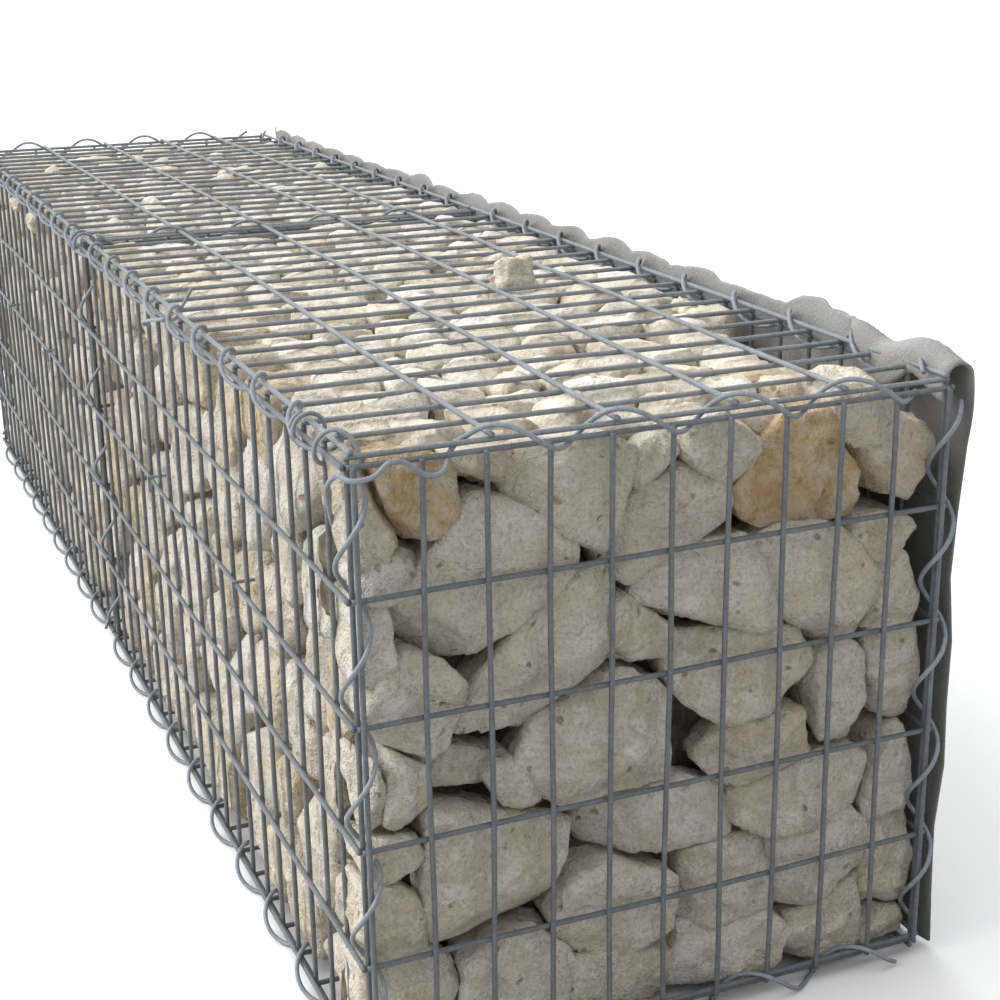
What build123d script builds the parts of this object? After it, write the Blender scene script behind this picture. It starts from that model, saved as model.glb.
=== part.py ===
from build123d import *
import os
from math import ceil, cos, floor, hypot, pi, sin, sqrt

# Gabion wall: two baskets of welded wire mesh in a row, laced along every edge
# with spiral binders, braced with cross ties and packed with stone.
# Millimetres, +Z up, +X along the wall to its near end, -Y to its open long side.
# The origin is on the ground, below the middle of the bounding box.

# Mesh and baskets
mesh_fine = 50.0              # spacing of the close-set wires
mesh_coarse = 2 * mesh_fine   # spacing of the wires that cross them
bay_cells = 10                # coarse cells along one basket
width_cells = 5               # coarse cells across the wall
height_cells = 5              # coarse cells up the wall
mesh_wire = 4.5               # diameter of the mesh wire
cut_stub = 4.0                # wire left past the last weld of a panel
seat = 0.3                    # play between parts that rest on each other

# Spiral binders: one turn for each coarse cell
spiral_wire = 4.0             # diameter of the binder wire
spiral_chords = 8             # straight chords that draw one turn
corner_gap = 3.0              # room between two binders that meet at a corner

# Where a binder comes to its crest, past the first wire, in coarse cells
crest_near = 0.84
crest_far = 0.37
crest_end = 0.30
crest_corner = 0.81
crest_joint = 0.34
crest_joint_side = 0.50

# Cross ties, through the stone from face to face
tie_wire = 3.0
tie_columns = (6.5, 13.5)     # along a basket, in close-set cells from the joint
tie_row = 3                   # mesh wire that they hook over, counted from below
tie_hook = 16.0               # how far the hooked ends reach down outside it

# Felt behind the wall
felt_thickness = 2.5
felt_upstand = 25.0           # felt left standing above the lid
felt_hem = 5.0                # its lower edge, above the ground

# A round wire is drawn as a square bar of the same section
bar = mesh_wire * sqrt(pi) / 2
spiral_bar = spiral_wire * sqrt(pi) / 2
tie_bar = tie_wire * sqrt(pi) / 2

bay_length = bay_cells * mesh_coarse
width = width_cells * mesh_coarse
height = height_cells * mesh_coarse

# Distance from the wall's centre to the middle of each layer of wire. The long
# panels and the lids have their close-set wires inside, the end panels outside.
bay_start = 1.5 * bar + seat
bay_middle = bay_start + bay_length / 2
bay_stop = bay_start + bay_length
end_inner = bay_stop + bar + seat
end_outer = end_inner + bar
face_outer = width / 2 + cut_stub + seat + bar / 2
face_inner = face_outer - bar
lid_inner = height / 2 + cut_stub + seat + bar / 2
lid_outer = lid_inner + bar

# A binder just clears the two edge wires that it laces along the long edges
pair_y = (width / 2 + face_outer) / 2
pair_z = (height / 2 + lid_outer) / 2
pair_reach = hypot((face_outer - width / 2 + bar) / 2, (lid_outer - height / 2 + bar) / 2)
spiral_corner = spiral_bar / sqrt(2)
spiral_inradius = pair_reach + seat + spiral_corner
spiral_radius = spiral_inradius / cos(pi / spiral_chords)
spiral_outer = spiral_inradius + spiral_corner

# The felt stands against the binders of the back face
felt_front = pair_y + spiral_outer + seat
middle_y = -(seat + felt_thickness) / 2
middle_z = pair_z + spiral_outer

# Planes through the wall's centre, each facing one side
centre = (0, middle_y, middle_z)
front = Plane(origin=centre, x_dir=(1, 0, 0), z_dir=(0, -1, 0))
back = Plane(origin=centre, x_dir=(-1, 0, 0), z_dir=(0, 1, 0))
top = Plane(origin=centre, x_dir=(1, 0, 0), z_dir=(0, 0, 1))
bottom = Plane(origin=centre, x_dir=(1, 0, 0), z_dir=(0, 0, -1))
near_end = Plane(origin=centre, x_dir=(0, 1, 0), z_dir=(1, 0, 0))
far_end = Plane(origin=centre, x_dir=(0, -1, 0), z_dir=(-1, 0, 0))

os.makedirs("parts", exist_ok=True)


def weld_mesh(name, side, middle, columns, rows, close_layer, coarse_layer):
    """Weld close-set wires, running up the side's plane, to coarse ones across them."""
    wire_up = rows * mesh_coarse + 2 * cut_stub
    wire_across = columns * mesh_fine + 2 * cut_stub
    with BuildPart() as panel:
        with BuildSketch(side.offset(close_layer)):
            with Locations((middle, 0)):
                with GridLocations(mesh_fine, mesh_coarse, columns + 1, 1):
                    Rectangle(bar, wire_up)
        extrude(amount=bar / 2, both=True)
        with BuildSketch(side.offset(coarse_layer)):
            with Locations((middle, 0)):
                with GridLocations(mesh_fine, mesh_coarse, 1, rows + 1):
                    Rectangle(wire_across, bar)
        extrude(amount=bar / 2, both=True)
    panel.part.label = name
    export_step(panel.part, f"parts/{name}.step")


def half_turn(plane, about):
    """Turn a plane by 180 degrees round one of the wall's own centre lines."""
    pivot = Location(centre)
    turn = Location((0, 0, 0), tuple(180 * c for c in about))
    return Plane(pivot * turn * pivot.inverse() * plane.location)


def wind_spiral(name, axis, span, half_length, crest):
    """Wind a binder up the axis plane's normal, to the right, with crests on its x side.

    The span is that of the laced mesh: crests are counted from its first wire.
    """
    step = mesh_coarse / spiral_chords
    first_crest = -span / 2 + crest * mesh_coarse + step / 2
    first = ceil((-half_length - first_crest) / step)
    last = floor((half_length - first_crest) / step)
    corners = []
    for i in range(first, last + 1):
        angle = 2 * pi * (i + 0.5) / spiral_chords
        corners.append((spiral_radius * cos(angle), spiral_radius * sin(angle), first_crest + i * step))
    with BuildPart() as spiral:
        with BuildLine(axis) as route:
            Polyline(*corners)
        with BuildSketch(Plane(origin=route.line @ 0, z_dir=route.line % 0)):
            Rectangle(spiral_bar, spiral_bar)
        sweep(path=route.wires()[0], transition=Transition.RIGHT)
    spiral.part.label = name
    export_step(spiral.part, f"parts/{name}.step")


# Mesh panels of the two baskets, and of their ends and joint
for bay, sign in (("near", 1), ("far", -1)):
    long_panels = (
        ("front_panel", front, sign, height_cells, face_inner, face_outer),
        ("back_panel", back, -sign, height_cells, face_inner, face_outer),
        ("lid_panel", top, sign, width_cells, lid_inner, lid_outer),
        ("base_panel", bottom, sign, width_cells, lid_inner, lid_outer),
    )
    for name, side, along, rows, close_layer, coarse_layer in long_panels:
        weld_mesh(f"{name}_{bay}", side, along * bay_middle, 2 * bay_cells, rows, close_layer, coarse_layer)

for name, side, close_layer, coarse_layer in (
    ("end_panel_near", near_end, end_outer, end_inner),
    ("end_panel_far", far_end, end_outer, end_inner),
    ("partition_panel", near_end, bar / 2, -bar / 2),
):
    weld_mesh(name, side, 0, 2 * width_cells, height_cells, close_layer, coarse_layer)


# Spiral binders. Each stands on a plane at the middle of its edge, and its copies
# on the other edges are the same binder turned with the wall.
x_line, y_line, z_line = (1, 0, 0), (0, 1, 0), (0, 0, 1)
unturned = (0, 0, 0)


def edge_axis(x, y, z, along, crest_side):
    """Make the plane of a binder's axis, at a place measured from the wall's centre."""
    return Plane(origin=Vector(*centre) + Vector(x, y, z), x_dir=crest_side, z_dir=along)


end_spiral_x = end_inner + bar / 2
corner_spiral_x = bay_stop + bar / 2
long_half = end_spiral_x - spiral_outer - corner_gap - bay_middle
across_half = pair_y - spiral_outer - corner_gap
upright_half = pair_z - spiral_outer - corner_gap

near_edge = edge_axis(bay_middle, -pair_y, pair_z, x_line, z_line)
far_edge = edge_axis(-bay_middle, -pair_y, pair_z, x_line, z_line)
end_edge = edge_axis(end_spiral_x, 0, lid_inner, y_line, z_line)
corner_edge = edge_axis(corner_spiral_x, -face_inner, 0, z_line, y_line)
joint_edge = edge_axis(0, 0, lid_inner - bar / 2, y_line, z_line)
joint_side_edge = edge_axis(0, -face_inner + bar / 2, 0, z_line, y_line)

spirals = (
    ("spiral_top_front_near", near_edge, unturned, bay_length, long_half, crest_near),
    ("spiral_top_back_far", near_edge, z_line, bay_length, long_half, crest_near),
    ("spiral_bottom_back_near", near_edge, x_line, bay_length, long_half, crest_near),
    ("spiral_bottom_front_far", near_edge, y_line, bay_length, long_half, crest_near),
    ("spiral_top_front_far", far_edge, unturned, bay_length, long_half, crest_far),
    ("spiral_top_back_near", far_edge, z_line, bay_length, long_half, crest_far),
    ("spiral_bottom_back_far", far_edge, x_line, bay_length, long_half, crest_far),
    ("spiral_bottom_front_near", far_edge, y_line, bay_length, long_half, crest_far),
    ("spiral_top_end_near", end_edge, unturned, width, across_half, crest_end),
    ("spiral_top_end_far", end_edge, z_line, width, across_half, crest_end),
    ("spiral_bottom_end_near", end_edge, x_line, width, across_half, crest_end),
    ("spiral_bottom_end_far", end_edge, y_line, width, across_half, crest_end),
    ("spiral_corner_front_near", corner_edge, unturned, height, upright_half, crest_corner),
    ("spiral_corner_back_far", corner_edge, z_line, height, upright_half, crest_corner),
    ("spiral_corner_back_near", corner_edge, x_line, height, upright_half, crest_corner),
    ("spiral_corner_front_far", corner_edge, y_line, height, upright_half, crest_corner),
    ("spiral_joint_top", joint_edge, unturned, width, across_half, crest_joint),
    ("spiral_joint_bottom", joint_edge, x_line, width, across_half, crest_joint),
    ("spiral_joint_front", joint_side_edge, unturned, height, upright_half, crest_joint_side),
    ("spiral_joint_back", joint_side_edge, x_line, height, upright_half, crest_joint_side),
)
for name, axis, about, span, half_length, crest in spirals:
    wind_spiral(name, half_turn(axis, about), span, half_length, crest)


# Cross ties: a wire over the same mesh wire of both faces, bent down outside it
tie_y = face_outer + bar / 2 + seat + tie_bar / 2
tie_z = -height / 2 + tie_row * mesh_coarse + bar / 2 + seat + tie_bar / 2
tie_xs = [bay_start + column * mesh_fine for column in tie_columns]

for bay, sign in (("near", 1), ("far", -1)):
    with BuildPart() as ties:
        for x in tie_xs:
            with BuildLine(near_end.offset(sign * x)) as route:
                Polyline((-tie_y, tie_z - tie_hook), (-tie_y, tie_z), (tie_y, tie_z), (tie_y, tie_z - tie_hook))
            with BuildSketch(Plane(origin=route.line @ 0, z_dir=route.line % 0)):
                Rectangle(tie_bar, tie_bar)
            sweep(path=route.wires()[0], transition=Transition.RIGHT)
    ties.part.label = f"cross_ties_{bay}"
    export_step(ties.part, f"parts/{ties.part.label}.step")


# Stone packing: one block a basket, bevelled clear of the binders, with a bore for each tie
fill_start = bar + seat
fill_stop = end_inner - bar / 2 - seat
fill_middle = (fill_start + fill_stop) / 2
fill_width = 2 * (face_inner - bar / 2 - seat)
fill_height = 2 * (lid_inner - bar / 2 - seat)
fill_bevel = sqrt(2) * (spiral_radius + spiral_corner + seat)
tie_bore = tie_bar + 2 * seat

for bay, sign in (("near", 1), ("far", -1)):
    with BuildPart() as stones:
        with Locations(top.location * Location((sign * fill_middle, 0, 0))):
            Box(fill_stop - fill_start, fill_width, fill_height)
        chamfer(stones.edges(), fill_bevel)
        for x in tie_xs:
            with Locations(top.location * Location((sign * x, 0, tie_z))):
                Box(tie_bore, fill_width, tie_bore, mode=Mode.SUBTRACT)
    stones.part.label = f"stone_fill_{bay}"
    export_step(stones.part, f"parts/{stones.part.label}.step")


# Felt sheet against the back, standing a little above the lid
felt_top = middle_z + lid_outer + bar / 2 + felt_upstand
with BuildPart() as felt:
    with BuildSketch(back.offset(felt_front)):
        with Locations((0, (felt_top + felt_hem) / 2 - middle_z)):
            Rectangle(2 * bay_stop, felt_top - felt_hem)
    extrude(amount=felt_thickness)
felt.part.label = "felt_sheet"
export_step(felt.part, "parts/felt_sheet.step")
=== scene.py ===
"""Gabion wall: stones, round wires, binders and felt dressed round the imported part, in metres."""

import math

import bmesh
import bpy
import numpy as np
from mathutils import Matrix, Vector, noise


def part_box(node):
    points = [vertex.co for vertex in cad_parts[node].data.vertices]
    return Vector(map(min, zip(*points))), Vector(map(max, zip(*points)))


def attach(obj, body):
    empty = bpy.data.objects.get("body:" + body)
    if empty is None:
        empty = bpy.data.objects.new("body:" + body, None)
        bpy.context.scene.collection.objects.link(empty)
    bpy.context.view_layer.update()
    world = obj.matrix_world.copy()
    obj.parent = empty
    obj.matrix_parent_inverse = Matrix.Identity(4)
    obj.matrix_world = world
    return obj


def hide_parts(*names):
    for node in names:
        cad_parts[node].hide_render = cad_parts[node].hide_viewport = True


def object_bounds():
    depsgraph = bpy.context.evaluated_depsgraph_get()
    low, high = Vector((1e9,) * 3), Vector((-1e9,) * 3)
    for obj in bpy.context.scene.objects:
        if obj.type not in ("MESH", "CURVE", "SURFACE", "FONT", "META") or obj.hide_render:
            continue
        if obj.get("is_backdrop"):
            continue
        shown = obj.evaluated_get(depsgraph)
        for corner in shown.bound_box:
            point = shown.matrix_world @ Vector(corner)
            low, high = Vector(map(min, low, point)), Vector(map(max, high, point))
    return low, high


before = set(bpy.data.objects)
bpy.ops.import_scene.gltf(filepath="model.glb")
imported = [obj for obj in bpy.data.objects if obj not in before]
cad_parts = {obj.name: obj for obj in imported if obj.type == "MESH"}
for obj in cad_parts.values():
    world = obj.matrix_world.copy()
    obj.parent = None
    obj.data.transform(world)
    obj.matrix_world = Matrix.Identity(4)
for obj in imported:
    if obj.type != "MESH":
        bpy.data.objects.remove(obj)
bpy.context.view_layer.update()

# Mesh spacings, the wire left past a panel's last weld, and the wires' diameters
mesh_fine, mesh_coarse = 0.050, 0.100
cut_stub = 0.004
mesh_wire, binder_wire, spare_wire = 0.0045, 0.004, 0.0036
wire_sides = 10

x_way, y_way, z_way = np.eye(3)


# Shader maths


class Tone:
    """One output of a bench's nodes. Sums on it add the Math nodes for them."""

    def __init__(self, bench, socket):
        self.bench, self.socket = bench, socket

    def math(self, operation, first, second=0.0, clamp=False):
        settings = {"operation": operation, "use_clamp": clamp}
        return self.bench.node("ShaderNodeMath", settings, {0: first, 1: second})

    def __add__(self, other):
        return self.math("ADD", self, other)

    def __radd__(self, other):
        return self.math("ADD", other, self)

    def __sub__(self, other):
        return self.math("SUBTRACT", self, other)

    def __rsub__(self, other):
        return self.math("SUBTRACT", other, self)

    def __mul__(self, other):
        return self.math("MULTIPLY", self, other)

    def __rmul__(self, other):
        return self.math("MULTIPLY", other, self)

    def between(self, low, high):
        """0 where this is low or less, 1 where it is high or more, and even in between."""
        return self.math("MULTIPLY", self - low, 1.0 / (high - low), clamp=True)


class Bench:
    """A node tree, with the one way in which nodes are added to it."""

    def __init__(self, owner):
        owner.use_nodes = True
        self.tree = owner.node_tree

    def node(self, kind, settings, sockets, output=0):
        """Adds a node: its settings first, then the values or links of its sockets."""
        made = self.tree.nodes.new(kind)
        for name, value in settings.items():
            setattr(made, name, value)
        for key, value in sockets.items():
            if isinstance(value, Tone):
                self.tree.links.new(value.socket, made.inputs[key])
            else:
                made.inputs[key].default_value = value
        return Tone(self, made.outputs[output])

    def backdrop_rays(self):
        """1 for rays that show the backdrop: straight to the camera, mirrored or through glass."""
        names = ("Is Camera Ray", "Is Glossy Ray", "Is Transmission Ray")
        straight, mirrored, passed = (self.node("ShaderNodeLightPath", {}, {}, name) for name in names)
        return (straight + mirrored + passed).between(0.0, 1.0)


class Finish(Bench):
    """One procedural material on a Principled shader, whose even values are set on its own sockets."""

    def __init__(self, name, **constants):
        self.material = bpy.data.materials.new(name)
        super().__init__(self.material)
        self.shader = self.tree.nodes["Principled BSDF"]
        for socket, value in constants.items():
            self.shader.inputs[socket.replace("_", " ")].default_value = value

    def attribute(self, name, output="Fac"):
        """A value that each stone carries."""
        return self.node("ShaderNodeAttribute", {"attribute_name": name}, {}, output)

    def grain(self, place, scale, detail=3.0, roughness=0.55):
        sockets = {"Vector": place, "Scale": scale, "Detail": detail, "Roughness": roughness}
        return self.node("ShaderNodeTexNoise", {}, sockets)

    def cells(self, place, scale, output="Distance"):
        return self.node("ShaderNodeTexVoronoi", {}, {"Vector": place, "Scale": scale}, output)

    def blend(self, share, first, second):
        """A colour between two colours."""
        return self.node("ShaderNodeMix", {"data_type": "RGBA"}, {0: share, 6: first, 7: second}, 2)

    def relief(self, height, depth, strength=1.0, normal=None):
        """A bump from heights, laid over another bump if that is given."""
        sockets = {"Height": height, "Distance": depth, "Strength": strength}
        if normal is not None:
            sockets["Normal"] = normal
        return self.node("ShaderNodeBump", {}, sockets)

    def feed(self, **tones):
        """Links tones to the shader's sockets, and gives the finished material."""
        for socket, tone in tones.items():
            self.tree.links.new(tone.socket, self.shader.inputs[socket.replace("_", " ")])
        return self.material


def rgb(red, green, blue):
    return (red, green, blue, 1.0)


def limestone(name, strength):
    """Pale broken limestone: cream to ochre, pitted, with its own bedding in each stone."""
    f = Finish(name, Roughness=0.93, Specular_IOR_Level=0.15)
    bed = f.attribute("bed", "Vector")
    shade = f.attribute("shade")
    ochre = f.attribute("ochre")
    drift = f.grain(bed, 26.0, 1.0)
    shift = {0: drift, 1: (0.05, 0.03, 0.04), 2: bed}
    bent = f.node("ShaderNodeVectorMath", {"operation": "MULTIPLY_ADD"}, shift)
    broad = f.grain(bed, 15.0, 2.0, 0.6)
    mottle = f.grain(bent, 62.0, 4.0, 0.70)
    grit = f.grain(bed, 290.0, 3.0, 0.76)
    pits = f.cells(bent, 46.0)
    holes = (0.20 - pits).between(0.0, 0.09) * mottle.between(0.50, 0.56)

    body = f.blend(shade, rgb(0.70, 0.63, 0.505), rgb(0.81, 0.775, 0.70))
    body = f.blend(mottle.between(0.43, 0.60) * 0.8, body, rgb(0.92, 0.905, 0.85))
    body = f.blend(broad.between(0.48, 0.64) * 0.45, body, rgb(0.72, 0.625, 0.47))
    body = f.blend(ochre * 0.28, body, rgb(0.74, 0.59, 0.37))
    stained = (ochre * 0.38 + broad * 0.35 + mottle * 0.85 + grit * 0.15).between(0.88, 1.10)
    body = f.blend(stained * 0.88, body, rgb(0.71, 0.515, 0.285))
    rusty = (ochre * 0.22 + mottle * 0.75 + grit * 0.30).between(0.70, 0.84)
    body = f.blend(rusty * 0.6, body, rgb(0.52, 0.29, 0.11))
    # Painted shade: the low spots of the fine grit are coloured darker brown, as shade in the small pits.
    body = f.blend((0.52 - grit).between(0.0, 0.20) * 0.55, body, rgb(0.44, 0.37, 0.27))
    body = f.blend(holes * 0.75, body, rgb(0.42, 0.26, 0.11))

    height = broad * 0.014 + pits * 0.0042 + mottle * 0.0098 + grit * 0.0038 - holes * 0.0030
    return f.feed(Base_Color=body, Normal=f.relief(height, 1.0, strength))


def inner_limestone():
    """The same stone inside the fill: painted dark below, as the shade in the gaps between the outer stones,
    and its own pale colour just under the lid.
    """
    f = Finish("inner_limestone", Roughness=0.97, Specular_IOR_Level=0.1)
    place = f.node("ShaderNodeTexCoord", {}, {}, "Object")
    height = f.node("ShaderNodeSeparateXYZ", {}, {0: place}, 2)
    mottle = f.grain(f.attribute("bed", "Vector"), 58.0, 2.0, 0.65)
    # Painted shade: below the lid's layer the inner stones are coloured dark brown, as the shade deep in the
    # gaps.
    painted_shade_tone = f.blend(mottle.between(0.35, 0.65), rgb(0.085, 0.068, 0.050), rgb(0.20, 0.168, 0.125))
    pale = f.blend(mottle.between(0.35, 0.65), rgb(0.42, 0.37, 0.29), rgb(0.68, 0.62, 0.52))
    return f.feed(
        Base_Color=f.blend(height.between(0.466, 0.490), painted_shade_tone, pale),
        Normal=f.relief(mottle, 0.010, 1.0),
    )


def galvanised(name, base, bloom, rust):
    """Zinc-coated steel wire: blue-grey, mottled, with a white bloom and a few rust specks."""
    f = Finish(name, Metallic=0.12, Roughness=0.42, Specular_IOR_Level=0.2)
    place = f.node("ShaderNodeTexCoord", {}, {}, "Object")
    spangle = f.cells(place, 420.0, output="Color")
    flake = f.node("ShaderNodeSeparateColor", {}, {0: spangle}, 0)
    cloud = f.grain(place, 28.0, 4.0, 0.6)
    fine = f.grain(place, 700.0, 3.0, 0.6)
    skin = f.blend(flake * 0.35, base, bloom)
    skin = f.blend(cloud.between(0.50, 0.75) * 0.5, skin, bloom)
    blotch = f.grain(place, 90.0, 5.0, 0.7) * 0.6 + f.grain(place, 9.0, 2.0) * 0.4
    specks = blotch.between(rust, rust + 0.03)
    skin = f.blend(specks * 0.8, skin, rgb(0.20, 0.09, 0.04))
    return f.feed(
        Base_Color=skin,
        Metallic=0.12 - specks * 0.12,
        Roughness=0.36 + cloud * 0.14 + specks * 0.4,
        Normal=f.relief(fine, 0.0003, 0.5),
    )


def needle_felt(upper_edge):
    """Pale grey needled felt, matt and fibrous, with soil stains, and darker below its upper edge: painted
    shade down the back of the wall, with damp soiling.
    """
    f = Finish("needle_felt", Roughness=0.97, Specular_IOR_Level=0.1, Sheen_Weight=0.2)
    place = f.node("ShaderNodeTexCoord", {}, {}, "Object")
    height = f.node("ShaderNodeSeparateXYZ", {}, {0: place}, 2)
    fibre = f.grain(place, 900.0, 4.0, 0.7)
    tuft = f.cells(place, 330.0)
    soil_and_shade_noise = f.grain(place, 9.0, 5.0, 0.65)
    cloth = f.blend(fibre.between(0.35, 0.70), rgb(0.285, 0.283, 0.280), rgb(0.425, 0.422, 0.415))
    # Darker below the upper edge: painted shade down the back of the wall, with damp soiling.
    painted_shade_below = (upper_edge - height + soil_and_shade_noise * 0.09).between(0.060, 0.130)
    cloth = f.blend(painted_shade_below * 0.78, cloth, rgb(0.19, 0.187, 0.18))
    cloth = f.blend(soil_and_shade_noise.between(0.48, 0.75) * 0.35, cloth, rgb(0.36, 0.33, 0.28))
    nap = f.relief(fibre, 0.0012, 0.7)
    return f.feed(Base_Color=cloth, Normal=f.relief(tuft, 0.0012, 0.5, nap))


# Pieces


def add_piece(name, points, faces, material, nodes):
    """Makes one mesh piece that rides with the wall and stands for the named nodes."""
    mesh = bpy.data.meshes.new(name)
    mesh.from_pydata(points, [], faces)
    mesh.materials.append(material)
    mesh.shade_smooth()
    piece = bpy.data.objects.new(name, mesh)
    bpy.context.scene.collection.objects.link(piece)
    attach(piece, "root")
    if nodes:
        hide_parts(*nodes)
    return piece


# Stones

# The nearest that a facet, an edge shared with a neighbour and an edge at a rim come to a stone's
# centre, and how deep its hollows may be
least_reach, least_share, least_rim = 0.004, 0.008, 0.006
hollow_depth = 0.011


def stone_ball(cuts):
    """Even directions round a point, and the quads that join them: a cube's grid blown round."""
    ball = bmesh.new()
    bmesh.ops.create_cube(ball, size=2.0)
    bmesh.ops.subdivide_edges(ball, edges=ball.edges[:], cuts=cuts - 1, use_grid_fill=True)
    corners = np.array([corner.co[:] for corner in ball.verts])
    quads = np.array([[corner.index for corner in face.verts] for face in ball.faces])
    ball.free()
    warped = np.tan(corners * math.pi / 4)
    return warped / np.linalg.norm(warped, axis=1)[:, None], quads


def facet_reach(directions, facets, sharpness):
    """How far a rounded stone with these facets reaches in each direction."""
    normals = np.array([facet[:3] for facet in facets])
    distances = np.array([facet[3] for facet in facets])
    near = np.maximum(directions @ normals.T / distances, 0.0)
    return (near**sharpness).sum(axis=1) ** (-1.0 / sharpness)


class StoneHeap:
    """Stones that share one mesh, each with its own bedding, shade and ochre."""

    def __init__(self, name, seed, cuts):
        self.name = name
        self.rng = np.random.default_rng(seed)
        self.ball, self.quads = stone_ball(cuts)
        self.points, self.faces, self.bed, self.shade, self.ochre = [], [], [], [], []
        self.count = 0

    def add(self, centre, facets, stretch, side, ochre, chips=5, rough=1.0, sharp=(30.0, 50.0)):
        """Cuts a stone round its centre, in the side's own axes.

        Facets are normals with distances. Chips are more facets, cut at random. Stretch spreads the
        points as the stone is long, wide and deep, and rough scales its hollows.
        """
        rng = self.rng
        sharpness = rng.uniform(*sharp)
        ways = rng.normal(size=(chips, 3))
        ways /= np.linalg.norm(ways, axis=1)[:, None]
        reaches = facet_reach(ways, facets, sharpness)
        chipped = [(*way, far * rng.uniform(0.88, 0.97)) for way, far in zip(ways, reaches)]
        directions = self.ball * np.asarray(stretch)
        directions /= np.linalg.norm(directions, axis=1)[:, None]
        far = facet_reach(directions, list(facets) + chipped, sharpness)

        # Hollows about 42, 20 and 10 mm across
        shift = Vector(rng.uniform(-40, 40, 3))
        waves = np.array(
            [
                0.60 * abs(noise.noise(shift + Vector(d) * (f / 0.042)))
                + 0.40 * abs(noise.noise(shift * 2 + Vector(d) * (f / 0.020)))
                + 0.22 * abs(noise.noise(shift * 3 + Vector(d) * (f / 0.010)))
                for d, f in zip(directions, far)
            ]
        )
        local = directions * np.maximum(far - rough * hollow_depth * waves, 0.4 * far)[:, None]

        turn = np.array(Matrix.Rotation(rng.uniform(0, math.tau), 3, Vector(rng.normal(size=3))))
        self.bed.append(local @ turn.T + rng.uniform(-3, 3, 3))
        world = (local + np.asarray(centre)) @ side[0].T + side[1]
        self.faces.append(self.quads + self.count)
        self.points.append(world)
        self.count += len(world)
        self.shade.append(np.full(len(world), rng.uniform(0.0, 1.0)))
        self.ochre.append(np.full(len(world), ochre))

    def finish(self, material, nodes):
        """Joins the stones into one piece."""
        piece = add_piece(
            self.name, np.concatenate(self.points), np.concatenate(self.faces), material, nodes
        )
        for name, kind, field, values in (
            ("bed", "FLOAT_VECTOR", "vector", self.bed),
            ("shade", "FLOAT", "value", self.shade),
            ("ochre", "FLOAT", "value", self.ochre),
        ):
            layer = piece.data.attributes.new(name, kind, "POINT")
            layer.data.foreach_set(field, np.concatenate(values).ravel())


def side_axes(across, up, out, origin):
    """A face of the packing: its own axes as columns, and where they start."""
    return np.array([across, up, out], dtype=float).T, np.array(origin, dtype=float)


def block_facets(halves):
    """Facets of a block with these half sizes."""
    ways = (x_way, y_way, z_way)
    return [(*(sign * way), half) for way, half in zip(ways, halves) for sign in (-1, 1)]


def slab_facets(heap, edges, depth, lean, bevel, ridges=2, steep=0.0):
    """Facets of a stone in a face: its sides, its broken front, its back and the bevels between.

    Lean is how far its front is tilted, and steep adds to the slope of the ridges on it.
    """
    rng = heap.rng
    half = depth / 2
    facets = [(0.0, 0.0, 1.0, half), (0.0, 0.0, -1.0, half)]
    front = np.array([rng.normal(0.0, lean), rng.normal(0.0, lean), 1.0])
    front /= np.linalg.norm(front)
    facets.append((*front, half))
    reach = np.mean([distance for _, _, distance, _ in edges])
    heading = rng.uniform(0, math.tau)
    for _ in range(ridges):
        heading += rng.uniform(1.4, 2.6)
        slope = rng.uniform(0.16, 0.46) + steep
        start = rng.uniform(0.05, 0.5) * reach * (1.0 - 1.6 * steep)
        level = math.cos(heading) * math.sin(slope), math.sin(heading) * math.sin(slope)
        facets.append((*level, math.cos(slope), half * math.cos(slope) + start * math.sin(slope)))
    for across, up, distance, tight in edges:
        taper = 0.0 if tight else rng.uniform(-0.02, 0.16)
        level, drop = math.cos(taper), math.sin(taper)
        facets.append((across * level, up * level, -drop, max(least_reach, distance * level - half * drop)))
        for face, cut in ((1.0, rng.uniform(0.0, 1.0) * bevel), (-1.0, rng.uniform(1.0, 2.2) * bevel)):
            slope = rng.uniform(0.45, 1.05)
            corner = distance * math.cos(slope) + half * math.sin(slope)
            way = across * math.cos(slope), up * math.cos(slope), face * math.sin(slope)
            facets.append((*way, max(least_reach, corner - cut)))
    return facets


def polygon_edges(corners):
    """Middle of a polygon and its edges as outward normals with their distances from it."""
    corners = np.asarray(corners, dtype=float)
    nexts = np.roll(corners, -1, axis=0)
    cross = corners[:, 0] * nexts[:, 1] - nexts[:, 0] * corners[:, 1]
    middle = ((corners + nexts) * cross[:, None]).sum(axis=0) / (3.0 * cross.sum())
    edges = []
    for start, stop in zip(corners, nexts):
        along = stop - start
        normal = np.array([along[1], -along[0]]) * math.copysign(1.0, cross.sum())
        normal /= np.linalg.norm(normal)
        edges.append((normal[0], normal[1], max(least_rim, float(normal @ (start - middle)))))
    return middle, edges


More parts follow.
